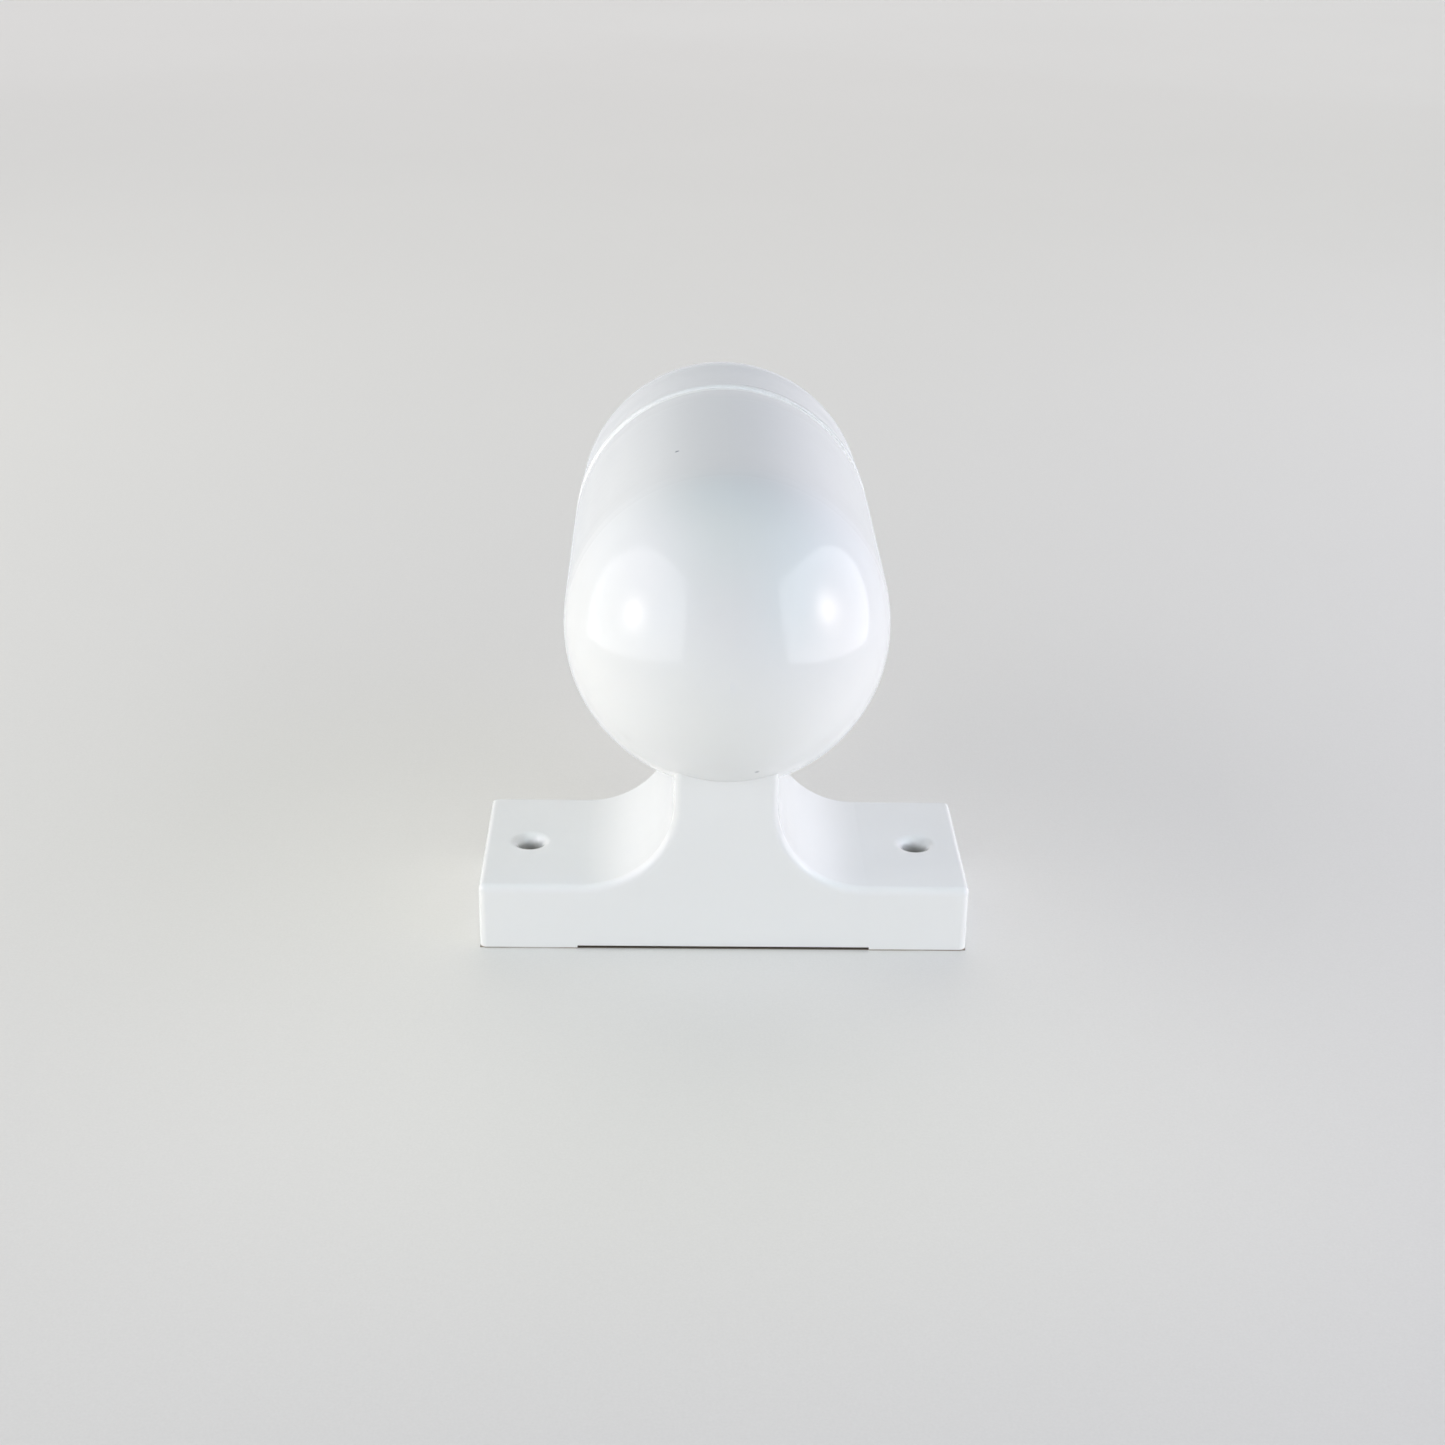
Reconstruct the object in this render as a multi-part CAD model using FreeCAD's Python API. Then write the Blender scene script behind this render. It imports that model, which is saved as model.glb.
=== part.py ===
import FreeCAD, Part
import math
import os

from FreeCAD import Vector

# ---------------------------------------------------------------------------
# Screw-down post cap: a T-shaped foot carries a hollow, ball-nosed capsule
# that lies along Y.  A push-in end cap closes the rear of the capsule.
#
# Frame: millimetres, +Z up.  The origin is the centre of the foot's
# underside, midway between the two screw holes.  The foot is long in X, the
# capsule's axis runs along Y, its ball nose points to -Y (the front) and its
# end cap to +Y (the rear).
# ---------------------------------------------------------------------------

# ---- capsule ----
AXIS_Z = 56.85           # height of the capsule's axis
BALL_R = 29.35           # ball nose, centred at y = 0
BLEND_ANGLE = math.radians(7.5)  # the ball leaves its arc this far before its equator
SHOULDER_Y = 43.0        # the barrel's end eases inwards from here
SEAM_Y = 51.4            # end of the barrel, where the end cap meets it
BARREL_END_R = 29.0      # outside radius at the seam
SHELL_BORE_R = 26.8      # inside of ball and barrel
MOUTH_CHAMFER = 0.5      # on the bore's rear edge
SHELL_BOTTOM_Z = AXIS_Z - BALL_R

# From the blend's start the curvature fades evenly to nothing at the barrel
BLEND_SLOPE = math.tan(BLEND_ANGLE)
BLEND_Y = -BALL_R * math.sin(BLEND_ANGLE)
BLEND_R = BALL_R * math.cos(BLEND_ANGLE)
BLEND_L = 2 * BLEND_SLOPE * BALL_R
BLEND_STEPS = 10
BARREL_Y = BLEND_Y + BLEND_L
BARREL_RISE = BLEND_SLOPE * BLEND_L / 3
BARREL_R = BLEND_R + BARREL_RISE

# ---- foot ----
FOOT_W = 88.9            # length of the foot along X
FOOT_D = 36.6            # depth of the foot along Y
FOOT_FRONT_Y = -FOOT_D / 2
FOOT_H = 12.6            # thickness of the two screw flanges
NECK_W = 18.5            # width of the neck between its fillets
NECK_FILLET = 16.6       # radius of the fillet from flange to neck
NECK_TOP_Z = AXIS_Z - 12.0  # top of the neck before the saddle is cut
FRONT_EDGE_R = 1.4       # rounding round the foot's front face
END_EDGE_R = 1.0         # rounding on the flanges' upper end edges
REAR_EDGE_R = 0.8        # rounding round the foot's rear face
CHANNEL_W = 53.3         # relief channel under the foot, open front and rear
CHANNEL_H = 0.6

# ---- screw holes in the flanges ----
HOLE_SPACING = 72.2
HOLE_R = 2.15
HOLE_LIP_R = 1.8         # rounding of the hole's mouth

# ---- gate vestige: ragged teeth at the front of the channel's ceiling ----
TEETH = (                # x, root width, height
    (-13.5, 0.9, 0.30),
    (-11.9, 2.6, 0.12),
    (-10.2, 0.8, 0.26),
)
TOOTH_L = 1.4            # length of the root along Y
TOOTH_TIP_X = (0.35, 1.1)  # the tip's extent in X, from the tooth's own x
TOOTH_SETBACK = 0.35     # from the foot's front face
TOOTH_SINK = 0.05        # the root is buried this far in the ceiling

# ---- end cap ----
RIM_R = 29.4             # rim stands proud of the barrel's end
RIM_EDGE_R = 0.6
RIM_SLOPE_SHARE = 0.35   # slope behind the rim, as a share of the mean taper
CAP_Y = 67.8             # equator of the rear dome
CAP_R = 28.75            # radius there
CAP_END_Y = 96.4         # rear pole
CAP_WALL = 1.8
DOME_STEPS = 12
STEP_Y = SEAM_Y + 2.4    # a cone widens the spigot's inside to the cap's from here
STEP_L = 3.0
SPIGOT_R = SHELL_BORE_R - 0.05  # running clearance in the shell's bore
SPIGOT_IN_R = 24.1
SPIGOT_L = 11.0
SPIGOT_LEAD = 0.8        # chamfer on the spigot's front edge

# ---- seal ----
SEAL_D = 1.6             # section of the seal ring
SEAL_OUT_R = 26.78
SEAL_Y = SEAM_Y - 4.2
GROOVE_W = 2.2
GROOVE_R = SEAL_OUT_R - SEAL_D - 0.02
GROOVE_FRONT_Y = SEAL_Y - GROOVE_W / 2
GROOVE_REAR_Y = SEAL_Y + GROOVE_W / 2

# ---- locating key between spigot and bore, at six o'clock ----
KEY_W = 3.0
KEY_H = 0.9
KEY_BLOCK_H = 1.5        # key's height with the part sunk in the spigot
KEY_GAP = 0.1            # clearance at the keyway's sides and floor
KEYWAY_L = 7.5
KEYWAY_BLOCK_H = 3.0     # reaches up into the open bore

# ---- hidden fixings from foot to capsule ----
FIX_Y = 9.0              # the two fixings sit at y = -FIX_Y and +FIX_Y
FIX_PLACES = (-FIX_Y, FIX_Y)
FIX_BORE_R = 2.25        # clearance hole through the neck
FIX_BORE_H = 40          # clears the saddle
FIX_CBORE_R = 5.0
FIX_CBORE_Z = 13.6       # depth of the counterbore from the mounting plane
BOSS_R = 4.6
BOSS_TOP_Z = 38.6
BOSS_EDGE_R = 0.6
RIB_TOP_Z = BOSS_TOP_Z - 1.6
RIB_T = 2.2              # rib that joins the bosses
CROSS_RIB_L = 17.0       # rib across each boss, along X
CROSS_RIB_T = 1.8
CROSS_RIB_TOP_Z = RIB_TOP_Z - 1.5
PILOT_R = 1.95
PILOT_TOP_Z = 37.2

WASHER_R = 4.6
WASHER_IN_R = 2.15
WASHER_T = 0.8
WASHER_EDGE_R = 0.2
WASHER_Z = FIX_CBORE_Z - WASHER_T  # underside, where the screw head seats

SCREW_R = 2.0
SCREW_TIP_Z = 36.6
SCREW_TIP_L = 2.2
SCREW_TIP_R = 0.6
SCREW_HEAD_R = 3.9
SCREW_HEAD_H = 2.5
HEAD_EDGE = 1.4          # size of the head's rounded lower edge
HEAD_EDGE_MID = 0.42     # inset of that rounding's midpoint
DRIVE_R = 1.25           # core of the drive recess
DRIVE_H = 1.6
LOBES = 6
LOBE_R = 0.42
LOBE_PITCH_R = 1.3

OVERCUT = 1              # cutters run past open faces by this much
TOL = 0.01               # for picking edges by place
CORNER_MID = 1 - math.sin(math.radians(45))  # inset of a unit rounding's midpoint
Y_AXIS = Vector(0, 1, 0)


# ---------------------------------------------------------------------------
# Drawing helpers
# ---------------------------------------------------------------------------
def lines(*points):
    """Straight edges from each point to the next."""
    return [Part.makeLine(a, b) for a, b in zip(points, points[1:])]


def arc(start, middle, end):
    return [Part.Arc(start, middle, end).toShape()]


def spline(points, start_tangent, end_tangent):
    """Curve through the points; tangents are given as (y, z)."""
    curve = Part.BSplineCurve()
    curve.interpolate(points,
                      InitialTangent=Vector(0, *start_tangent),
                      FinalTangent=Vector(0, *end_tangent))
    return [curve.toShape()]


def at(y, r):
    """Point at radius r above the capsule's axis."""
    return Vector(0, y, AXIS_Z + r)


def revolve(edges, origin, axis):
    return Part.Face(Part.Wire(edges)).revolve(origin, axis, 360)


def revolve_capsule(edges):
    return revolve(edges, at(0, 0), Y_AXIS)


def flat(edge):
    """True for an edge that lies in a horizontal plane."""
    return edge.BoundBox.ZLength < TOL


# ---------------------------------------------------------------------------
# Capsule outline, from the front pole to the seam
# ---------------------------------------------------------------------------
def capsule_outline():
    half = (math.pi / 2 - BLEND_ANGLE) / 2
    ball = arc(at(-BALL_R, 0),
               at(-BALL_R * math.cos(half), BALL_R * math.sin(half)),
               at(BLEND_Y, BLEND_R))

    steps = [i / BLEND_STEPS for i in range(BLEND_STEPS + 1)]
    blend = spline([at(BLEND_Y + BLEND_L * t,
                       BLEND_R + BARREL_RISE * (1 - (1 - t) ** 3)) for t in steps],
                   (1, BLEND_SLOPE), (1, 0))

    barrel = lines(at(BARREL_Y, BARREL_R), at(SHOULDER_Y, BARREL_R))

    # shallow arc, tangent to the barrel, that ends at the seam
    length, drop = SEAM_Y - SHOULDER_Y, BARREL_R - BARREL_END_R
    radius = (length * length + drop * drop) / (2 * drop)
    half = math.asin(length / radius) / 2
    shoulder = arc(at(SHOULDER_Y, BARREL_R),
                   at(SHOULDER_Y + radius * math.sin(half),
                      BARREL_R - radius * (1 - math.cos(half))),
                   at(SEAM_Y, BARREL_END_R))
    return ball + blend + barrel + shoulder


def make_envelope():
    """Solid body of the ball and barrel; shapes the saddle and trims the bosses."""
    return revolve_capsule(capsule_outline() + lines(
        at(SEAM_Y, BARREL_END_R), at(SEAM_Y, 0), at(-BALL_R, 0)))


# ---------------------------------------------------------------------------
# Foot: T profile, saddle, screw holes, relief channel, fixing counterbores
# ---------------------------------------------------------------------------
def make_foot_blank():
    end_x, neck_x = FOOT_W / 2, NECK_W / 2
    fillet_x = neck_x + NECK_FILLET
    fillet_z = FOOT_H + NECK_FILLET
    inset = NECK_FILLET * CORNER_MID

    def front(x, z):
        return Vector(x, FOOT_FRONT_Y, z)

    edges = (
        lines(front(-end_x, 0), front(end_x, 0),
              front(end_x, FOOT_H), front(fillet_x, FOOT_H))
        + arc(front(fillet_x, FOOT_H), front(neck_x + inset, FOOT_H + inset),
              front(neck_x, fillet_z))
        + lines(front(neck_x, fillet_z), front(neck_x, NECK_TOP_Z),
                front(-neck_x, NECK_TOP_Z), front(-neck_x, fillet_z))
        + arc(front(-neck_x, fillet_z), front(-neck_x - inset, FOOT_H + inset),
              front(-fillet_x, FOOT_H))
        + lines(front(-fillet_x, FOOT_H), front(-end_x, FOOT_H), front(-end_x, 0)))
    body = Part.Face(Part.Wire(edges)).extrude(Vector(0, FOOT_D, 0))

    def outline(face_y):
        """Edges round the front or rear face, without its top and bottom."""
        return [e for e in body.Edges
                if abs(e.CenterOfMass.y - face_y) < TOL
                and TOL < e.CenterOfMass.z < NECK_TOP_Z - TOL]

    ends = [e for e in body.Edges
            if abs(abs(e.CenterOfMass.x) - end_x) < TOL
            and abs(e.CenterOfMass.z - FOOT_H) < TOL]
    body = body.makeFillet(END_EDGE_R, ends)
    body = body.makeFillet(FRONT_EDGE_R, outline(FOOT_FRONT_Y))
    return body.makeFillet(REAR_EDGE_R, outline(-FOOT_FRONT_Y))


def make_tooth(x, width, height):
    """Lopsided wedge that hangs from the channel's ceiling."""
    tooth = Part.makeWedge(
        -width / 2, 0, 0, -width / 6, TOOTH_TIP_X[0],
        width / 2, height, TOOTH_L, width / 6, TOOTH_TIP_X[1])
    tooth.rotate(Vector(0, 0, 0), Vector(1, 0, 0), -90)
    box = tooth.BoundBox
    tooth.translate(Vector(x, FOOT_FRONT_Y + TOOTH_SETBACK - box.YMin,
                           CHANNEL_H + TOOTH_SINK - box.ZMax))
    return tooth


def make_foot(envelope):
    body = make_foot_blank()

    # saddle that the capsule sits in; only the piece below it is kept
    body = body.cut(envelope)
    body = max(body.Solids, key=lambda s: s.Volume)

    # relief channel
    body = body.cut(Part.makeBox(CHANNEL_W, FOOT_D + 2 * OVERCUT, CHANNEL_H,
                                 Vector(-CHANNEL_W / 2, FOOT_FRONT_Y - OVERCUT, 0)))

    # flange screw holes with rounded mouths
    for side in (-1, 1):
        body = body.cut(Part.makeCylinder(HOLE_R, FOOT_H + 2 * OVERCUT,
                                          Vector(side * HOLE_SPACING / 2, 0, -OVERCUT)))
    mouths = [e for e in body.Edges
              if abs(e.BoundBox.ZMin - FOOT_H) < TOL and flat(e)
              and abs(e.BoundBox.XLength - 2 * HOLE_R) < 0.05]
    body = body.makeFillet(HOLE_LIP_R, mouths)

    # counterbored fixing holes from below
    for y in FIX_PLACES:
        body = body.cut(Part.makeCylinder(FIX_CBORE_R, FIX_CBORE_Z + OVERCUT,
                                          Vector(0, y, -OVERCUT)))
        body = body.cut(Part.makeCylinder(FIX_BORE_R, FIX_BORE_H, Vector(0, y, 0)))

    for x, width, height in TEETH:
        body = body.fuse(make_tooth(x, width, height))
    return body.removeSplitter()


# ---------------------------------------------------------------------------
# Capsule shell: ball nose and barrel in one hollow moulding, open at the rear
# ---------------------------------------------------------------------------
def make_boss(y):
    boss = Part.makeCylinder(BOSS_R, BOSS_TOP_Z - SHELL_BOTTOM_Z,
                             Vector(0, y, SHELL_BOTTOM_Z))
    return boss.makeFillet(BOSS_EDGE_R, [
        e for e in boss.Edges if e.CenterOfMass.z > BOSS_TOP_Z - TOL and flat(e)])


def make_boss_core(envelope):
    """Two ribbed screw bosses, trimmed to the capsule's outside."""
    core = make_boss(-FIX_Y).fuse(make_boss(FIX_Y))
    core = core.fuse(Part.makeBox(RIB_T, 2 * FIX_Y, RIB_TOP_Z - SHELL_BOTTOM_Z,
                                  Vector(-RIB_T / 2, -FIX_Y, SHELL_BOTTOM_Z)))
    for y in FIX_PLACES:
        core = core.fuse(Part.makeBox(
            CROSS_RIB_L, CROSS_RIB_T, CROSS_RIB_TOP_Z - SHELL_BOTTOM_Z,
            Vector(-CROSS_RIB_L / 2, y - CROSS_RIB_T / 2, SHELL_BOTTOM_Z)))
    return core.common(envelope)


def make_shell(envelope):
    diagonal = SHELL_BORE_R * math.cos(math.radians(45))
    shell = revolve_capsule(
        capsule_outline()
        + lines(at(SEAM_Y, BARREL_END_R),
                at(SEAM_Y, SHELL_BORE_R + MOUTH_CHAMFER),
                at(SEAM_Y - MOUTH_CHAMFER, SHELL_BORE_R),
                at(0, SHELL_BORE_R))
        + arc(at(0, SHELL_BORE_R), at(-diagonal, diagonal), at(-SHELL_BORE_R, 0))
        + lines(at(-SHELL_BORE_R, 0), at(-BALL_R, 0)))

    shell = shell.fuse(make_boss_core(envelope))
    for y in FIX_PLACES:
        shell = shell.cut(Part.makeCylinder(PILOT_R, PILOT_TOP_Z, Vector(0, y, 0)))

    # keyway in the mouth of the bore
    shell = shell.cut(Part.makeBox(
        KEY_W + 2 * KEY_GAP, KEYWAY_L, KEYWAY_BLOCK_H,
        Vector(-KEY_W / 2 - KEY_GAP, SEAM_Y - KEYWAY_L,
               AXIS_Z - SPIGOT_R - KEY_H - KEY_GAP)))
    return shell.removeSplitter()


# ---------------------------------------------------------------------------
# End cap: proud rim, rear dome, and a grooved spigot that plugs the barrel
# ---------------------------------------------------------------------------
def dome_points(radius, length):
    """Quarter ellipse from the dome's equator to its pole."""
    angles = [math.pi / 2 * i / DOME_STEPS for i in range(DOME_STEPS + 1)]
    return [at(CAP_Y + length * math.sin(a), radius * math.cos(a)) for a in angles]


def make_key():
    """Key from the groove to the rim, its foot rounded to the keyway's circle."""
    length = SEAM_Y - GROOVE_REAR_Y
    key = Part.makeBox(KEY_W, length, KEY_BLOCK_H,
                       Vector(-KEY_W / 2, GROOVE_REAR_Y, AXIS_Z - SPIGOT_R - KEY_H))
    return key.common(Part.makeCylinder(SPIGOT_R + KEY_H, length,
                                        at(GROOVE_REAR_Y, 0), Y_AXIS))


def make_end_cap():
    inset = RIM_EDGE_R * CORNER_MID
    rim_y = SEAM_Y + RIM_EDGE_R
    slope = (CAP_R - RIM_R) / (CAP_Y - SEAM_Y) * RIM_SLOPE_SHARE
    dome_l = CAP_END_Y - CAP_Y
    inner_r = CAP_R - CAP_WALL
    spigot_y = SEAM_Y - SPIGOT_L
    inner_dome = dome_points(inner_r, dome_l - CAP_WALL)[::-1]

    cap = revolve_capsule(
        arc(at(SEAM_Y, RIM_R - RIM_EDGE_R), at(SEAM_Y + inset, RIM_R - inset),
            at(rim_y, RIM_R))
        + spline([at(rim_y, RIM_R), at(CAP_Y, CAP_R)], (1, slope), (1, 0))
        + spline(dome_points(CAP_R, dome_l), (1, 0), (0, -1))
        + lines(at(CAP_END_Y, 0), at(CAP_END_Y - CAP_WALL, 0))
        + spline(inner_dome, (0, 1), (-1, 0))
        + lines(at(CAP_Y, inner_r),
                at(STEP_Y + STEP_L, inner_r),
                at(STEP_Y, SPIGOT_IN_R),
                at(spigot_y, SPIGOT_IN_R),
                at(spigot_y, SPIGOT_R - SPIGOT_LEAD),
                at(spigot_y + SPIGOT_LEAD, SPIGOT_R),
                at(GROOVE_FRONT_Y, SPIGOT_R),
                at(GROOVE_FRONT_Y, GROOVE_R),
                at(GROOVE_REAR_Y, GROOVE_R),
                at(GROOVE_REAR_Y, SPIGOT_R),
                at(SEAM_Y, SPIGOT_R),
                at(SEAM_Y, RIM_R - RIM_EDGE_R)))
    return cap.fuse(make_key()).removeSplitter()


def make_seal():
    """Seal ring in the spigot's groove."""
    return Part.makeTorus(SEAL_OUT_R - SEAL_D / 2, SEAL_D / 2, at(SEAL_Y, 0), Y_AXIS)


# ---------------------------------------------------------------------------
# Fixing screws and washers
# ---------------------------------------------------------------------------
def make_screw(y):
    """Screw that points up, its head below the washer."""
    head_z = WASHER_Z - SCREW_HEAD_H

    def side(r, z):
        return Vector(r, 0, z)

    screw = revolve(
        lines(side(0, head_z), side(SCREW_HEAD_R - HEAD_EDGE, head_z))
        + arc(side(SCREW_HEAD_R - HEAD_EDGE, head_z),
              side(SCREW_HEAD_R - HEAD_EDGE_MID, head_z + HEAD_EDGE_MID),
              side(SCREW_HEAD_R, head_z + HEAD_EDGE))
        + lines(side(SCREW_HEAD_R, head_z + HEAD_EDGE),
                side(SCREW_HEAD_R, WASHER_Z),
                side(SCREW_R, WASHER_Z),
                side(SCREW_R, SCREW_TIP_Z - SCREW_TIP_L),
                side(SCREW_TIP_R, SCREW_TIP_Z),
                side(0, SCREW_TIP_Z),
                side(0, head_z)),
        Vector(0, 0, 0), Vector(0, 0, 1))

    # six-lobed drive recess, started just below the head
    recess_z = head_z - 0.1
    recess = Part.makeCylinder(DRIVE_R, DRIVE_H, Vector(0, 0, recess_z))
    for i in range(LOBES):
        angle = 2 * math.pi * i / LOBES
        recess = recess.fuse(Part.makeCylinder(LOBE_R, DRIVE_H, Vector(
            LOBE_PITCH_R * math.cos(angle), LOBE_PITCH_R * math.sin(angle), recess_z)))
    screw = screw.cut(recess)
    screw.translate(Vector(0, y, 0))
    return screw


def make_washer(y):
    """Washer with its lower outer edge rounded."""
    washer = Part.makeCylinder(WASHER_R, WASHER_T, Vector(0, y, WASHER_Z))
    washer = washer.makeFillet(WASHER_EDGE_R, [
        e for e in washer.Edges
        if flat(e) and e.BoundBox.XLength > 2 * WASHER_R - 0.1
        and abs(e.CenterOfMass.z - WASHER_Z) < TOL])
    return washer.cut(Part.makeCylinder(WASHER_IN_R, WASHER_T + 2 * OVERCUT,
                                        Vector(0, y, WASHER_Z - OVERCUT)))


envelope = make_envelope()
parts = {
    "mounting_foot": make_foot(envelope),
    "capsule_shell": make_shell(envelope),
    "end_cap": make_end_cap(),
    "cap_seal": make_seal(),
    "neck_screws": Part.makeCompound([make_screw(y) for y in FIX_PLACES]),
    "neck_washers": Part.makeCompound([make_washer(y) for y in FIX_PLACES]),
}

os.makedirs("parts", exist_ok=True)
for node, shape in parts.items():
    shape.exportStep("parts/%s.step" % node)
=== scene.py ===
"""White plastic capsule on a mounting foot, on a pale floor in soft studio light.

Metres, +Z up.  The foot stands on z = 0 with its long side along X.  The camera is
on the -Y side and looks along +Y and down, so left is -X and right is +X.
"""

import math
from functools import reduce

import bmesh
import bpy
from mathutils import Matrix, Vector

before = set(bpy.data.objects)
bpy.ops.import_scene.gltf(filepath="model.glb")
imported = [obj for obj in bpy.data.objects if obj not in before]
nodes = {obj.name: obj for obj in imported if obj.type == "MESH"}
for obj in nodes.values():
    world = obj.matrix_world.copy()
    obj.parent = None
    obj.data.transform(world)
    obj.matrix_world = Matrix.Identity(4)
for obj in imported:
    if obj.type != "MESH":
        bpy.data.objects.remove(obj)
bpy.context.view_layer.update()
scene = bpy.context.scene

# ---------------------------------------------------------------------------
# camera
# ---------------------------------------------------------------------------
SENSOR_MM = 36.0
LENS_MM = 57.557647
PITCH, ROLL, YAW = 23.99, -1.10, 1.42      # degrees: downwards, about the view, towards +X
CAMERA_POS = (-0.01008, -0.3872, 0.2096)
CLIP_NEAR, CLIP_FAR = 0.01, 20.0


def make_camera():
    pitch, roll, yaw = (math.radians(angle) for angle in (PITCH, ROLL, YAW))
    forward = Vector((math.sin(yaw) * math.cos(pitch),
                      math.cos(yaw) * math.cos(pitch),
                      -math.sin(pitch)))
    level_right = Vector((math.cos(yaw), -math.sin(yaw), 0.0))
    level_down = forward.cross(level_right)
    right = math.cos(roll) * level_right + math.sin(roll) * level_down
    down = -math.sin(roll) * level_right + math.cos(roll) * level_down

    data = bpy.data.cameras.new("photo_camera")
    data.sensor_width = SENSOR_MM
    data.sensor_fit = "HORIZONTAL"
    data.lens = LENS_MM
    data.clip_start = CLIP_NEAR
    data.clip_end = CLIP_FAR
    camera = bpy.data.objects.new("photo_camera", data)
    scene.collection.objects.link(camera)
    pose = Matrix((right, -down, -forward)).transposed().to_4x4()
    pose.translation = Vector(CAMERA_POS)
    camera.matrix_world = pose
    scene.camera = camera


make_camera()
scene.view_settings.view_transform = "Standard"
scene.view_settings.look = "None"
scene.view_settings.exposure = 0.0
scene.view_settings.gamma = 1.0


# ---------------------------------------------------------------------------
# shader graph helpers
# ---------------------------------------------------------------------------
class Graph:
    """Places and wires shader nodes.  Any input takes a socket or a plain value."""

    def __init__(self, tree):
        self.tree = tree
        self.x = 0

    def feed(self, socket, value):
        if isinstance(value, bpy.types.NodeSocket):
            self.tree.links.new(value, socket)
        elif socket.type == "RGBA":
            socket.default_value = (*value, 1.0)
        else:
            socket.default_value = value

    def node(self, kind, inputs=None, **settings):
        node = self.tree.nodes.new(kind)
        node.location = (self.x, 0)
        self.x += 180
        for key, value in settings.items():
            setattr(node, key, value)
        for key, value in (inputs or {}).items():
            self.feed(node.inputs[key], value)
        return node

    def math(self, operation, *values, clamp=False):
        node = self.node("ShaderNodeMath", dict(enumerate(values)),
                         operation=operation, use_clamp=clamp)
        return node.outputs[0]

    def product(self, *values):
        return reduce(lambda a, b: self.math("MULTIPLY", a, b), values)

    def square_sum(self, a, b):
        return self.math("ADD", self.product(a, a), self.product(b, b))

    def scale_add(self, value, factor, offset, clamp=False):
        return self.math("ADD", self.product(value, factor), offset, clamp=clamp)

    def fade(self, high, low, width):
        """0 while high <= low, rising to 1 once high is width above low."""
        return self.math("DIVIDE", self.math("SUBTRACT", high, low), width, clamp=True)

    def object_coords(self):
        return self.node("ShaderNodeTexCoord").outputs["Object"]

    def mapping(self, vector, **inputs):
        return self.node("ShaderNodeMapping", {"Vector": vector, **inputs}).outputs["Vector"]

    def xyz(self, vector):
        return self.node("ShaderNodeSeparateXYZ", {0: vector}).outputs[:]

    def noise(self, vector, scale, detail=2.0, rough=0.5):
        inputs = {"Vector": vector, "Scale": scale, "Detail": detail, "Roughness": rough}
        return self.node("ShaderNodeTexNoise", inputs).outputs["Fac"]

    def ramp(self, fac, *stops):
        """Two stops, each (position, colour)."""
        node = self.node("ShaderNodeValToRGB", {"Fac": fac})
        for element, (position, colour) in zip(node.color_ramp.elements, stops):
            element.position = position
            element.color = (*colour, 1.0)
        return node.outputs["Color"]

    def mix(self, fac, a, b, blend="MIX"):
        # the colour sockets of a Mix node are inputs 6 and 7 and output 2
        node = self.node("ShaderNodeMix", data_type="RGBA", blend_type=blend)
        for index, value in ((0, fac), (6, a), (7, b)):
            self.feed(node.inputs[index], value)
        return node.outputs[2]

    def shade(self, colour, fac, start, stop, darkest):
        """Darken a colour from darkest at start to untouched at stop."""
        tone = self.ramp(fac, (start, (darkest,) * 3), (stop, (1.0,) * 3))
        return self.mix(1.0, colour, tone, "MULTIPLY")

    def bump(self, height, strength, distance, normal=None):
        inputs = {"Strength": strength, "Distance": distance, "Height": height}
        if normal is not None:
            inputs["Normal"] = normal
        return self.node("ShaderNodeBump", inputs).outputs["Normal"]

    def surface(self, colour, roughness, normal, **extra):
        """Principled surface; extra inputs are written with _ for a space."""
        inputs = {"Base Color": colour, "Roughness": roughness, "Normal": normal}
        inputs.update((key.replace("_", " "), value) for key, value in extra.items())
        shader = self.node("ShaderNodeBsdfPrincipled", inputs)
        self.node("ShaderNodeOutputMaterial", {0: shader.outputs[0]})


def empty_graph(owner):
    owner.use_nodes = True
    owner.node_tree.nodes.clear()
    return Graph(owner.node_tree)


def new_material(name):
    material = bpy.data.materials.new(name)
    return material, empty_graph(material)


def tint(colour, factor):
    return tuple(value * factor for value in colour)


# ---------------------------------------------------------------------------
# plastic
# ---------------------------------------------------------------------------
PLASTIC = (0.83, 0.84, 0.845)
PLASTIC_ROUGH = 0.04           # before the film and scuffs are added
SPECK_COLOUR = (0.32, 0.30, 0.29)
SPECK_SIZE = 0.02              # in Voronoi cells
SPECK_RARITY = 0.965           # share of cells without a speck
MARK_COLOUR = (0.16, 0.18, 0.22)
MARK_WOBBLE = 0.0006

HOLE_X = 0.0361                # foot holes, at either end on the X axis
# painted shade down the foot holes, darkest towards the bottom
HOLE_SHADE_RADIUS = 0.0042
HOLE_SHADE_TOP = 0.0118
HOLE_SHADE_FADE = 0.0025
HOLE_SHADE = (0.24, 0.225, 0.19)
CONTACT_SHADOW_TOP = 0.00030        # top of the painted contact shadow along the line where the foot meets the floor
CONTACT_SHADOW_FADE = 0.00018
CONTACT_SHADOW = (0.16, 0.10, 0.045)
CHANNEL_TOP = 0.00064          # shallow channel under the foot
CHANNEL_HALF_X = 0.02666
CHANNEL_MIN_Y = -0.01825
# painted shade in the channel under the foot
CHANNEL_SHADE = (0.10, 0.075, 0.045)


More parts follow.
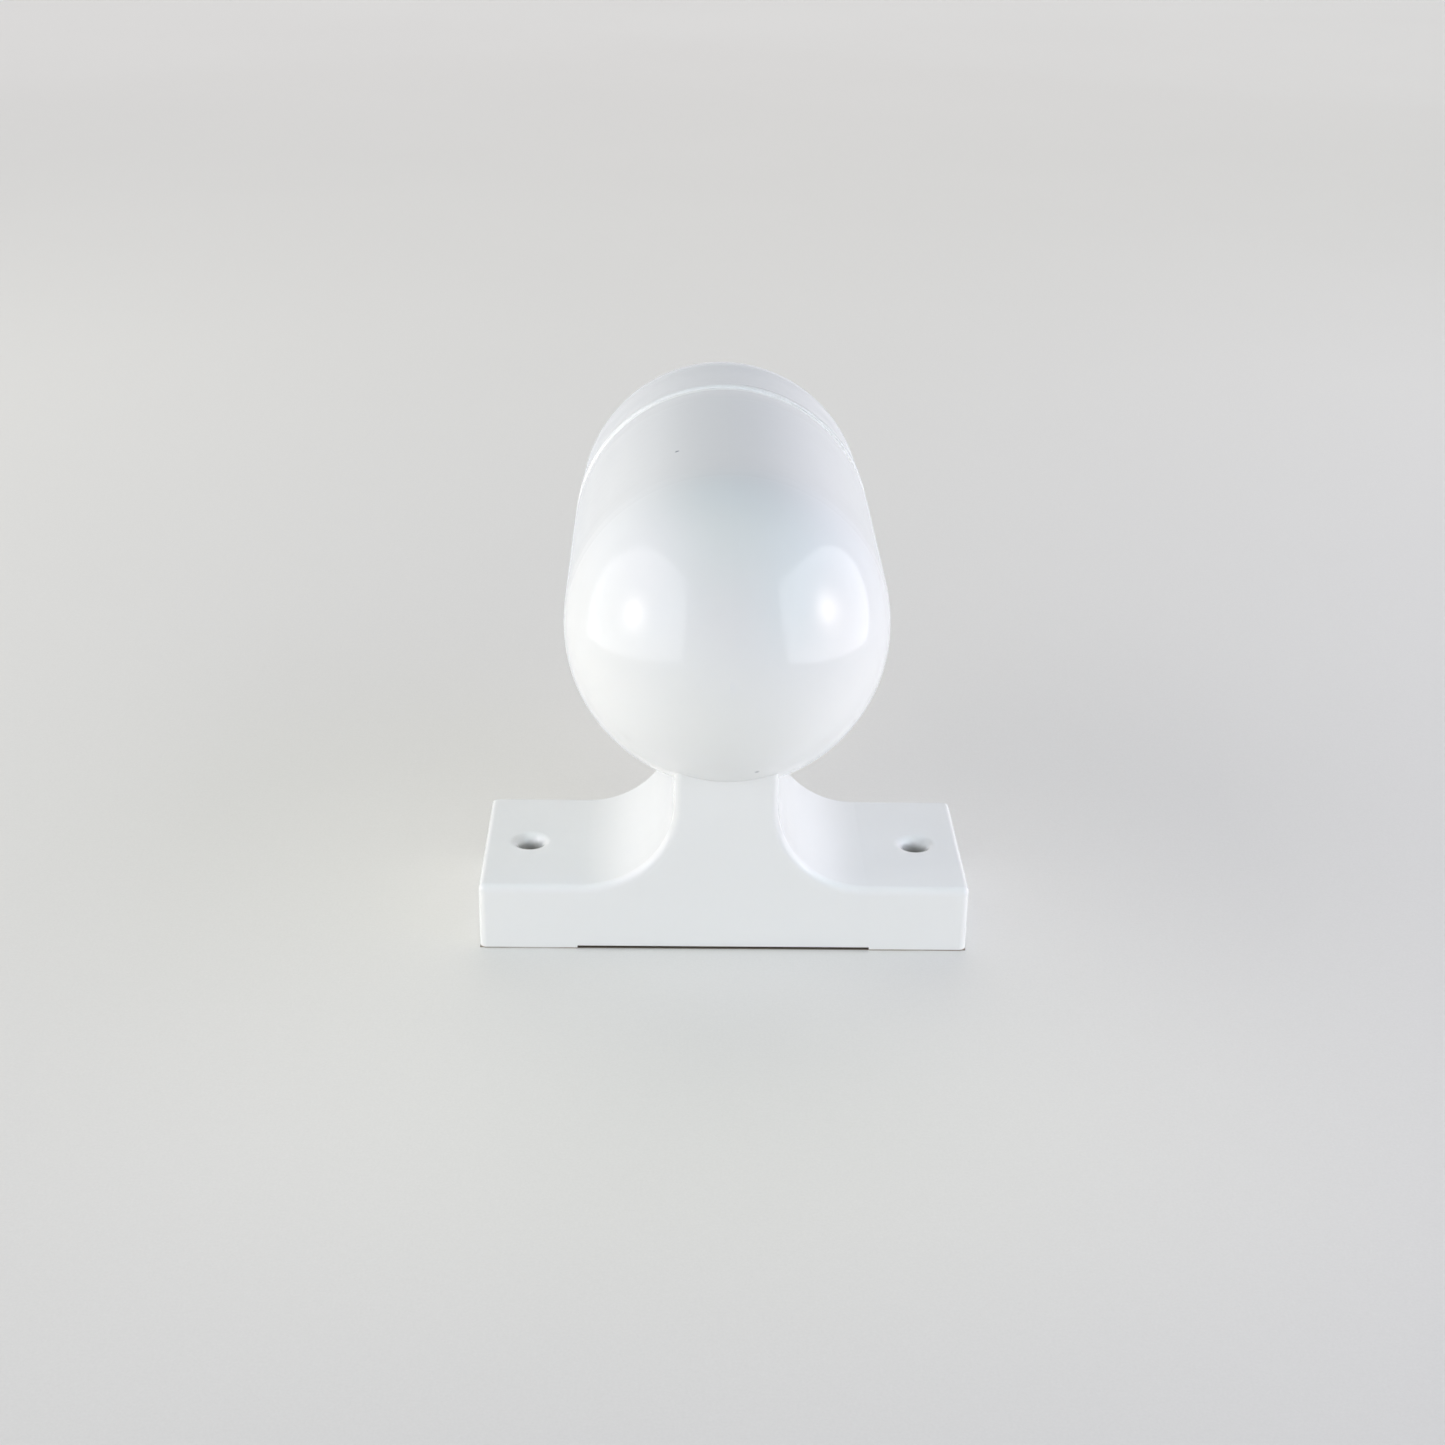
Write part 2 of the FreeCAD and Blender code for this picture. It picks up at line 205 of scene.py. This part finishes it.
def add_specks(g, colour, coords):
    """Tiny grey-brown inclusions in a few of the Voronoi cells."""
    cells = g.node("ShaderNodeTexVoronoi", {"Vector": coords, "Scale": 90.0}, feature="F1")
    near = g.math("LESS_THAN", cells.outputs["Distance"], SPECK_SIZE)
    pick = g.node("ShaderNodeSeparateColor", {0: cells.outputs["Color"]})
    rare = g.math("GREATER_THAN", pick.outputs[0], SPECK_RARITY)
    opacity = 0.55
    return g.mix(g.product(near, rare, opacity), colour, SPECK_COLOUR)


def add_marks(g, colour, coords, shifted, marks):
    """Dark marks with ragged edges."""
    ragged = g.noise(shifted, scale=2500.0, detail=2.0, rough=0.6)
    wobble = g.product(g.math("SUBTRACT", ragged, 0.5), MARK_WOBBLE)
    for x, y, z, radius, strength in marks:
        distance = g.node("ShaderNodeVectorMath", {0: coords, 1: (x, y, z)},
                          operation="DISTANCE").outputs["Value"]
        near = g.fade(radius, g.math("ADD", distance, wobble), width=radius * 0.6)
        colour = g.mix(g.product(near, strength), colour, MARK_COLOUR)
    return colour


def add_painted_shade(g, colour, coords, shifted, holes):
    """Painted shade down the holes, a painted contact shadow along the bottom edge and painted
    shade in the channel underneath.
    """
    x, y, z = g.xyz(coords)
    hole_shade_opacity, channel_shade_opacity = 0.7, 0.8
    # painted shade in the holes, deepest low down
    deep = g.fade(HOLE_SHADE_TOP, z, HOLE_SHADE_FADE)
    for hole_x, hole_y in holes:
        offset_x = g.math("SUBTRACT", x, hole_x)
        offset_y = g.math("SUBTRACT", y, hole_y)
        radius = g.math("SQRT", g.square_sum(offset_x, offset_y))
        inside = g.math("LESS_THAN", radius, HOLE_SHADE_RADIUS)
        colour = g.mix(g.product(inside, deep, hole_shade_opacity), colour, HOLE_SHADE)
    # painted contact shadow along the bottom edge, made patchy
    low = g.fade(CONTACT_SHADOW_TOP, z, CONTACT_SHADOW_FADE)
    patches = g.scale_add(g.noise(shifted, scale=90.0, detail=3.0, rough=0.6),
                          factor=1.2, offset=0.1, clamp=True)
    colour = g.mix(g.product(low, patches), colour, CONTACT_SHADOW)
    # painted shade on the channel walls and ceiling
    channel = g.product(g.math("LESS_THAN", z, CHANNEL_TOP),
                        g.math("LESS_THAN", g.math("ABSOLUTE", x), CHANNEL_HALF_X),
                        g.math("GREATER_THAN", y, CHANNEL_MIN_Y),
                        channel_shade_opacity)
    return g.mix(channel, colour, CHANNEL_SHADE)


def add_flash(g, normal, coords, shifted, y_start, y_end):
    """Band left rough by mould flash, stronger towards +X."""
    x, y, _ = g.xyz(coords)
    start = g.fade(y, y_start, width=0.0002)
    end = g.fade(y_end, y, width=0.0008)
    side_start, side_width = 0.002, 0.016      # grows from x = -side_start over side_width
    side = g.math("DIVIDE", g.math("ADD", x, side_start), side_width, clamp=True)
    rough = g.noise(shifted, scale=1300.0, detail=3.0, rough=0.7)
    burr = g.product(rough, g.product(start, end, side))
    return g.bump(burr, strength=0.8, distance=0.0006, normal=normal)


def painted_edge_highlight(g, coords, shifted, y_start, y_end, amount):
    """Painted highlight: an uneven emission glow along a band of the rim edge."""
    _, y, _ = g.xyz(coords)
    start = g.fade(y, y_start, width=0.0006)
    end = g.fade(y_end, y, width=0.0003)
    uneven = g.scale_add(g.noise(shifted, scale=420.0, detail=3.0, rough=0.6),
                         factor=0.8, offset=0.6)
    return {"Emission_Strength": g.product(start, end, uneven, amount),
            "Emission_Color": (1.0, 1.0, 0.99)}


def plastic(name, seed, flow=(1.0, 0.25, 1.0), marks=(), flash=None, holes=(), painted_highlight=None):
    """Glossy white injection-moulded plastic.

    seed shifts the textures and flow scales them along the melt flow.
    marks: dark marks (x, y, z, radius, strength).  flash: rough band (y start, y end).
    holes: (x, y) of the holes; giving them paints shade down the holes, a contact shadow along the
    bottom edge and shade into the channel underneath.
    painted_highlight: a band glowing by emission as a painted highlight (y start, y end, amount).
    """
    material, g = new_material(name)
    coords = g.object_coords()
    shifted = g.mapping(coords, Location=(seed, seed * 0.7, seed * 1.3))
    flowing = g.mapping(shifted, Scale=flow)

    # tone: broad drift plus faint flow streaks
    drift = g.noise(flowing, scale=22.0, detail=3.0, rough=0.55)
    streaks = g.noise(flowing, scale=160.0, detail=4.0, rough=0.6)
    colour = g.ramp(drift, (0.3, tint(PLASTIC, 0.992)), (0.7, tint(PLASTIC, 1.006)))
    colour = g.shade(colour, streaks, start=0.35, stop=0.65, darkest=0.995)
    colour = add_specks(g, colour, shifted)
    if marks:
        colour = add_marks(g, colour, coords, shifted, marks)
    # painted shade in the holes and the channel, and a painted contact shadow along the bottom
    # edge
    if holes:
        colour = add_painted_shade(g, colour, coords, shifted, holes)

    # gloss: a cloudy handling film and fine scuffs
    film_rough, scuff_rough = 0.05, 0.03
    film = g.product(g.noise(shifted, scale=45.0, detail=5.0, rough=0.6), film_rough)
    scuffs = g.product(g.noise(shifted, scale=900.0), scuff_rough)
    roughness = g.math("ADD", g.math("ADD", film, scuffs), PLASTIC_ROUGH, clamp=True)

    # skin: orange peel and a finer mould texture
    peel = g.noise(shifted, scale=420.0, rough=0.45)
    fine = g.noise(shifted, scale=2600.0)
    normal = g.bump(peel, strength=0.05, distance=0.0002)
    normal = g.bump(fine, strength=0.02, distance=0.00003, normal=normal)
    if flash:
        normal = add_flash(g, normal, coords, shifted, *flash)

    # painted highlight along the seam rim, by emission
    glow = painted_edge_highlight(g, coords, shifted, *painted_highlight) if painted_highlight else {}
    g.surface(colour, roughness, normal, IOR=1.49, Subsurface_Weight=0.06,
              Subsurface_Radius=(0.0012, 0.0011, 0.0010), Subsurface_Scale=1.0, **glow)
    return material


# ---------------------------------------------------------------------------
# rubber and steel
# ---------------------------------------------------------------------------
def rubber(name):
    """Black rubber with a patchy bloom."""
    material, g = new_material(name)
    coords = g.object_coords()
    cloud = g.noise(coords, scale=120.0, detail=4.0, rough=0.6)
    grain = g.noise(coords, scale=1800.0, detail=3.0, rough=0.6)
    colour = g.ramp(cloud, (0.3, (0.012, 0.012, 0.013)), (0.75, (0.035, 0.035, 0.036)))
    roughness = g.scale_add(grain, factor=0.25, offset=0.38, clamp=True)
    g.surface(colour, roughness, g.bump(grain, strength=0.15, distance=0.0001))
    return material


def steel(name, seed):
    """Mottled steel with fine turning lines stacked along Z."""
    material, g = new_material(name)
    shifted = g.mapping(g.object_coords(), Location=(seed, seed, seed))
    stretched = g.mapping(shifted, Scale=(1.0, 1.0, 14.0))
    turning = g.noise(stretched, scale=900.0, detail=3.0, rough=0.6)
    mottle = g.noise(shifted, scale=300.0, detail=4.0, rough=0.6)
    colour = g.ramp(mottle, (0.3, (0.50, 0.50, 0.49)), (0.7, (0.66, 0.66, 0.65)))
    roughness = g.scale_add(turning, factor=0.18, offset=0.22, clamp=True)
    normal = g.bump(turning, strength=0.12, distance=0.00005)
    g.surface(colour, roughness, normal, Metallic=1.0)
    return material


def paint(name, material):
    mesh = nodes[name].data
    mesh.materials.clear()
    mesh.materials.append(material)
    for face in mesh.polygons:
        face.material_index = 0


paint("mounting_foot", plastic("white_plastic_foot", seed=0.0, flow=(0.3, 1.0, 1.0),
                               holes=((-HOLE_X, 0.0), (HOLE_X, 0.0))))
# the shell and the cap carry a painted highlight along the seam rim
paint("capsule_shell", plastic("white_plastic_shell", seed=0.31,
                               marks=((-0.0093, 0.0131, 0.0847, 0.00050, 0.9),
                                      (0.0052, -0.0212, 0.0373, 0.00055, 0.45)),
                               painted_highlight=(0.0494, 0.0520, 0.12)))
paint("end_cap", plastic("white_plastic_cap", seed=0.73, flash=(0.0514, 0.0535),
                         painted_highlight=(0.0508, 0.0528, 0.07)))
paint("cap_seal", rubber("seal_rubber"))
paint("neck_screws", steel("screw_steel", seed=0.2))
paint("neck_washers", steel("washer_steel", seed=0.9))

# ---------------------------------------------------------------------------
# floor
# ---------------------------------------------------------------------------
FLOOR = (0.76, 0.76, 0.75)
FLOOR_HALF = 6.0
FLOOR_Z = -0.00002
UNDER_HALF_X, UNDER_HALF_Y = 0.0444, 0.0181    # extents of the painted shadow patch under the foot
UNDER_SHADOW = (0.16, 0.11, 0.07)


def floor_material():
    material, g = new_material("paper_floor")
    coords = g.object_coords()
    fibre = g.noise(coords, scale=700.0, detail=5.0, rough=0.65)
    cloud = g.noise(coords, scale=6.0)
    colour = g.ramp(cloud, (0.3, tint(FLOOR, 0.988)), (0.7, FLOOR))
    colour = g.shade(colour, fibre, start=0.3, stop=0.7, darkest=0.985)
    grain = g.noise(coords, scale=2200.0, detail=3.0, rough=0.7)
    colour = g.shade(colour, grain, start=0.25, stop=0.75, darkest=0.95)
    x, y, _ = g.xyz(coords)
    # painted shadow on the floor under the foot
    opacity = 0.85
    under_shadow = g.product(g.math("LESS_THAN", g.math("ABSOLUTE", x), UNDER_HALF_X),
                      g.math("LESS_THAN", g.math("ABSOLUTE", y), UNDER_HALF_Y),
                      opacity)
    colour = g.mix(under_shadow, colour, UNDER_SHADOW)
    normal = g.bump(fibre, strength=0.15, distance=0.0002)
    g.surface(colour, 0.85, normal, Specular_IOR_Level=0.25)
    return material


def make_floor():
    mesh = bpy.data.meshes.new("floor")
    s = FLOOR_HALF
    mesh.from_pydata([(-s, -s, 0), (s, -s, 0), (s, s, 0), (-s, s, 0)], [], [(0, 1, 2, 3)])
    floor = bpy.data.objects.new("floor", mesh)
    scene.collection.objects.link(floor)
    mesh.materials.append(floor_material())
    floor.location.z = FLOOR_Z
    floor.visible_glossy = False    # its reflection is part of the dome
    return floor


# ---------------------------------------------------------------------------
# soft surround
# ---------------------------------------------------------------------------
# Lobes: name: (azimuth, elevation, k, colour).  Degrees; azimuth 0 is the camera's
# side (-Y) and +90 is +X.  A lobe falls off as cos(angle) ** k; k 0 is even all round.
# DIFFUSE is the world, which lights but isn't mirrored.
DIFFUSE = {
    "d_amb": (0, 90, 0, (0.107, 0.112, 0.117)),
    "low_000": (0, 8, 8, (0.077, 0.117, 0.142)),
    "low_045": (45, 8, 8, (0.919, 0.995, 1.031)),
    "low_090": (90, 8, 8, (0.000, 0.026, 0.223)),
    "low_180": (180, 8, 8, (3.457, 3.240, 2.806)),
    "low_225": (-135, 8, 8, (0.029, 0.073, 0.000)),
    "low_270": (-90, 8, 8, (0.347, 0.443, 0.496)),
    "low_315": (-45, 8, 8, (0.896, 0.950, 0.998)),
    "mid_000": (0, 45, 6, (0.464, 0.479, 0.474)),
    "mid_090": (90, 45, 6, (0.000, 0.000, 0.033)),
    "mid_180": (180, 45, 6, (0.112, 0.118, 0.132)),
    "mid_270": (-90, 45, 6, (0.000, 0.008, 0.017)),
    "zenith": (0, 90, 5, (0.000, 0.000, 0.013)),
}
# GLOSS is a dome that is only seen in reflections.
GLOSS = {
    "g_amb": (0, 90, 0, (0.661, 0.677, 0.699)),
    "g_zen": (0, 90, 3, (1.871, 2.311, 2.072)),
    "g_front": (0, 15, 3, (0.546, 0.469, 0.538)),
    "g_back": (180, 15, 3, (0.198, 0.199, 0.228)),
    "g_f30": (0, 30, 12, (0.126, 0.000, 0.000)),
    "g_b60": (180, 60, 12, (0.085, 0.245, 0.407)),
    "g_l45": (-90, 45, 8, (1.592, 1.382, 1.770)),
    "g_r45": (90, 45, 8, (0.701, 1.197, 1.519)),
    "g_fl": (-50, 22, 8, (0.749, 0.818, 1.110)),
    "g_fr": (50, 22, 8, (0.000, 0.651, 0.798)),
    "g_bl": (-130, 25, 8, (1.178, 1.227, 1.366)),
    "g_br": (130, 25, 8, (0.784, 0.922, 1.145)),
    "g_floor": (0, -90, 1, (0.000, 0.024, 0.031)),
    "g_floor_near": (0, -50, 4, (0.258, 0.203, 0.000)),
}
DOME_RADIUS = 7.0


def lobe_sum(g, direction, lobes):
    """Sum of the lobes as a colour."""
    total = None
    for name, (azimuth, elevation, k, colour) in lobes.items():
        level = 1.0
        if k:
            az, el = math.radians(azimuth), math.radians(elevation)
            axis = (math.sin(az) * math.cos(el), -math.cos(az) * math.cos(el), math.sin(el))
            dot = g.node("ShaderNodeVectorMath", {0: direction, 1: axis},
                         operation="DOT_PRODUCT")
            level = g.math("POWER", g.math("MAXIMUM", dot.outputs["Value"], 0.0), float(k))
        part = g.node("ShaderNodeVectorMath", {0: colour, "Scale": level},
                      operation="SCALE", name="part_" + name).outputs[0]
        if total is None:
            total = part
        else:
            total = g.node("ShaderNodeVectorMath", {0: total, 1: part},
                           operation="ADD").outputs[0]
    return total


def make_world():
    world = bpy.data.worlds.new("studio")
    scene.world = world
    g = empty_graph(world)
    direction = g.node("ShaderNodeTexCoord").outputs["Generated"]
    background = g.node("ShaderNodeBackground", {0: lobe_sum(g, direction, DIFFUSE)})
    g.node("ShaderNodeOutputWorld", {0: background.outputs[0]})
    world.cycles_visibility.glossy = False


def make_dome():
    mesh = bpy.data.meshes.new("gloss_dome")
    bm = bmesh.new()
    bmesh.ops.create_uvsphere(bm, u_segments=48, v_segments=24, radius=DOME_RADIUS)
    bmesh.ops.reverse_faces(bm, faces=bm.faces[:])
    bm.to_mesh(mesh)
    bm.free()
    dome = bpy.data.objects.new("gloss_dome", mesh)
    scene.collection.objects.link(dome)
    material, g = new_material("dome_glow")
    position = g.node("ShaderNodeNewGeometry").outputs["Position"]
    direction = g.node("ShaderNodeVectorMath", {0: position}, operation="NORMALIZE").outputs[0]
    glow = g.node("ShaderNodeEmission", {0: lobe_sum(g, direction, GLOSS)})
    g.node("ShaderNodeOutputMaterial", {0: glow.outputs[0]})
    mesh.materials.append(material)
    for ray in ("camera", "diffuse", "transmission", "volume_scatter", "shadow"):
        setattr(dome, "visible_" + ray, False)


# ---------------------------------------------------------------------------
# lights
# ---------------------------------------------------------------------------
# Diffusion walls close on either side of the object, in the plane x = side * WALL_X.
LEFT, RIGHT = -1, 1
WALL_X = 0.25
LAYER_GAP = 0.0002
EDGE_SOFTNESS = 0.008
# outlines: (y, z) corners
OUTLINE_L = ((0.077, -0.01), (0.104, 0.137), (0.056, 0.260), (0.0, 0.320), (-0.115, 0.373),
             (-0.304, 0.456), (-0.418, 0.238), (-0.441, -0.01))
OUTLINE_R = ((0.078, -0.01), (0.105, 0.055), (0.140, 0.111), (0.125, 0.195), (0.055, 0.265),
             (-0.086, 0.322), (-0.262, 0.388), (-0.331, 0.206), (-0.306, -0.01))
# glow shapes: (y range, z range, outline or None, core (y, z, radius) or None)
WALL_L = ((-0.46, 0.12), (0.0, 0.47), OUTLINE_L, None)
WALL_R = ((-0.35, 0.15), (0.0, 0.40), OUTLINE_R, None)
CORE_L = ((-0.200, 0.000), (0.020, 0.220), None, (-0.100, 0.120, 0.030))
CORE_R = ((-0.178, 0.022), (0.028, 0.228), None, (-0.078, 0.128, 0.030))
WIDE_L = ((-0.290, 0.100), (0.0, 0.302), None, (-0.090, 0.112, 0.070))
WIDE_R = ((-0.276, 0.120), (0.0, 0.301), None, (-0.072, 0.115, 0.070))
LOW = ((-0.40, 0.30), (0.0, 0.060), None, (-0.03, 0.0, 0.15))
# name: (side, shape, seen by, power, colour)
WALLS = {
    "gwallL": (LEFT, WALL_L, "glossy", 1.200, (0.958, 0.958, 1.000)),
    "gwallR": (RIGHT, WALL_R, "glossy", 1.000, (0.950, 0.950, 1.000)),
    "gcoreL": (LEFT, CORE_L, "glossy", 0.600, (1.000, 0.900, 0.833)),
    "gcoreR": (RIGHT, CORE_R, "glossy", 0.700, (1.000, 0.886, 0.800)),
    "gwideR": (RIGHT, WIDE_R, "glossy", 0.097, (1.000, 0.000, 0.000)),
    "dwallL": (LEFT, WALL_L, "diffuse", 0.022, (0.000, 0.000, 1.000)),
    "dwallR": (RIGHT, WALL_R, "diffuse", 0.018, (0.000, 0.000, 1.000)),
    "dcoreL": (LEFT, CORE_L, "diffuse", 1.067, (1.000, 0.986, 0.948)),
    "dcoreR": (RIGHT, CORE_R, "diffuse", 0.769, (0.879, 0.904, 1.000)),
    "dwideL": (LEFT, WIDE_L, "diffuse", 0.398, (1.000, 0.973, 0.931)),
    "dwideR": (RIGHT, WIDE_R, "diffuse", 0.231, (0.882, 0.879, 1.000)),
    "dlowL": (LEFT, LOW, "diffuse", 0.446, (1.000, 0.870, 0.726)),
    "dlowR": (RIGHT, LOW, "diffuse", 0.665, (1.000, 0.909, 0.825)),
}
# name: (location, target, width, height, spread degrees, power, colour)
FLOOR_LIGHTS = {
    "far_floor": ((0, 1.35, 0.9), (0, 1.35, 0.0), 3.0, 1.4, 110, 4.938, (1.000, 0.861, 0.807)),
    "mid_floor": ((0, 0.45, 0.7), (0, 0.45, 0.0), 1.8, 0.4, 110, 0.636, (1.000, 0.897, 0.772)),
    "near_floor": ((0, -0.42, 0.55), (0, -0.30, 0.0), 1.0, 0.3, 100, 0.013, (0.000, 0.000, 1.000)),
    "left_floor": ((-0.60, -0.05, 0.45), (-0.30, -0.05, 0.0), 0.9, 0.3, 90, 0.606,
                   (1.000, 0.955, 0.875)),
    "right_floor": ((0.60, -0.05, 0.45), (0.30, -0.05, 0.0), 0.9, 0.3, 90, 0.510,
                    (0.914, 0.854, 1.000)),
    "foot_floor": ((0, -0.10, 0.10), (0, -0.045, 0.0), 0.10, 0.03, 120, 0.005,
                   (0.932, 1.000, 0.547)),
    "front_floor": ((0, -0.16, 0.20), (0, -0.08, 0.0), 0.25, 0.08, 120, 0.039,
                    (1.000, 0.951, 0.928)),
}


def outline_level(g, y, z, outline):
    """1 inside a convex outline, fading to 0 across its edges."""
    centre_y, centre_z = (sum(values) / len(outline) for values in zip(*outline))
    level = None
    for (y0, z0), (y1, z1) in zip(outline, outline[1:] + outline[:1]):
        dy, dz = y1 - y0, z1 - z0
        length = math.hypot(dy, dz)
        # a * y + b * z + c is the distance from the edge, positive inside
        a, b = -dz / length, dy / length
        c = -(a * y0 + b * z0)
        if a * centre_y + b * centre_z + c < 0:
            a, b, c = -a, -b, -c
        distance = g.math("ADD", g.math("ADD", g.product(y, a), g.product(z, b)), c)
        edge = g.math("ADD", g.math("DIVIDE", distance, EDGE_SOFTNESS), 0.5, clamp=True)
        level = edge if level is None else g.product(level, edge)
    return level


def core_level(g, y, z, core):
    """Bell-shaped glow around a centre."""
    centre_y, centre_z, radius = core
    squared = g.square_sum(g.math("SUBTRACT", y, centre_y), g.math("SUBTRACT", z, centre_z))
    return g.math("EXPONENT", g.math("DIVIDE", squared, -2.0 * radius * radius))


def shape_glow(light, outline, core):
    light.use_nodes = True
    g = Graph(light.node_tree)
    _, y, z = g.xyz(g.node("ShaderNodeNewGeometry").outputs["Position"])
    level = outline_level(g, y, z, outline) if outline else core_level(g, y, z, core)
    g.feed(light.node_tree.nodes["Emission"].inputs["Strength"], level)


def collect(name, members):
    collection = bpy.data.collections.new(name)
    scene.collection.children.link(collection)
    for member in members:
        collection.objects.link(member)
    return collection


def area_light(name, location, target, size, power, colour, receivers):
    data = bpy.data.lights.new(name, "AREA")
    data.shape = "RECTANGLE"
    data.size, data.size_y = size
    data.energy = power
    data.color = colour
    light = bpy.data.objects.new(name, data)
    scene.collection.objects.link(light)
    light.visible_camera = False
    light.light_linking.receiver_collection = receivers
    light.location = location
    light.rotation_mode = "QUATERNION"
    backward = (Vector(location) - Vector(target)).normalized()
    light.rotation_quaternion = backward.to_track_quat("Z", "Y")
    return light


def make_lights(floor):
    lit_object = collect("lit_object", nodes.values())
    lit_floor = collect("lit_floor", [floor])
    for i, (name, (side, shape, seen_by, power, colour)) in enumerate(WALLS.items()):
        y_range, z_range, outline, core = shape
        size = (y_range[1] - y_range[0], z_range[1] - z_range[0])
        y, z = sum(y_range) / 2, sum(z_range) / 2
        # each layer stands a little behind the one before it, or they hide each other
        x = side * (WALL_X + LAYER_GAP * i)
        light = area_light(name, (x, y, z), (0, y, z), size, power, colour, lit_object)
        if seen_by == "glossy":
            light.visible_diffuse = False
            light.visible_transmission = False
        else:
            light.visible_glossy = False
        shape_glow(light.data, outline, core)
    for name, row in FLOOR_LIGHTS.items():
        location, target, width, height, spread, power, colour = row
        light = area_light(name, location, target, (width, height), power, colour, lit_floor)
        light.data.spread = math.radians(spread)
        light.visible_glossy = False


make_lights(make_floor())
make_world()
make_dome()
